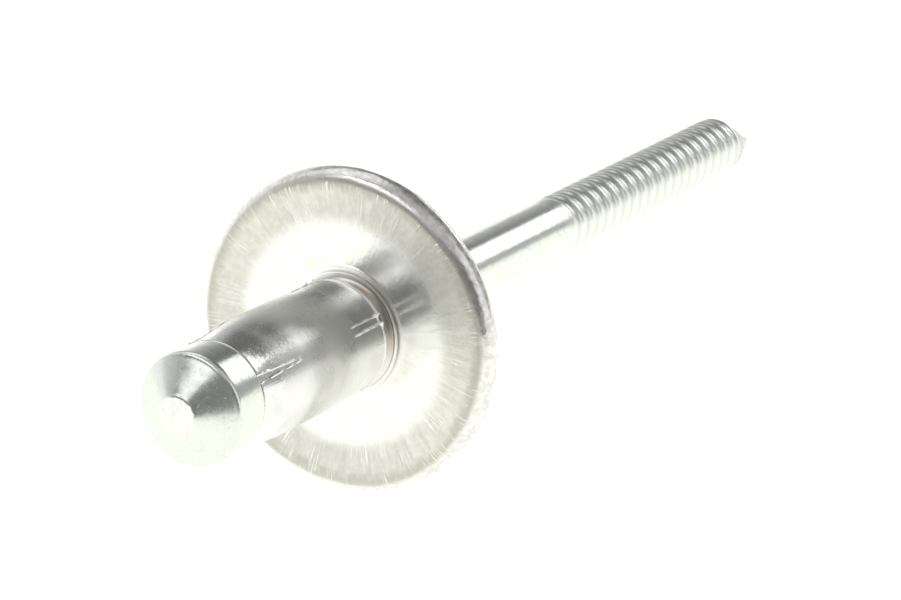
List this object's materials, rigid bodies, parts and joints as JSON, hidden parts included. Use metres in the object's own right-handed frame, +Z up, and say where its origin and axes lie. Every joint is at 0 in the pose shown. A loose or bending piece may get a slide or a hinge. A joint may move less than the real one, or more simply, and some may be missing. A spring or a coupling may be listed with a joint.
{
  "type": "pop rivet",
  "caption": "Large-flange blind rivet, unset: slotted aluminium body with a wide dished flange on a plated steel pulling mandrel with a cone head and ring-grooved tail.",
  "frame": {"origin": "on the ground, under the middle of the lying rivet's bounding box", "axes": "+X along the lying rivet from the blind end to the pulling tail, +Z up"},
  "size_m": [0.0522, 0.014, 0.0138],
  "materials": {
    "rivet_aluminium": "natural satin aluminium, rough on the rim, radially streaked on the raised lip",
    "plated_steel": "bright zinc-plated steel"
  },
  "bodies": {
    "root": {"rivet_body": "rivet_aluminium", "mandrel": "plated_steel"}
  },
  "joints": []
}
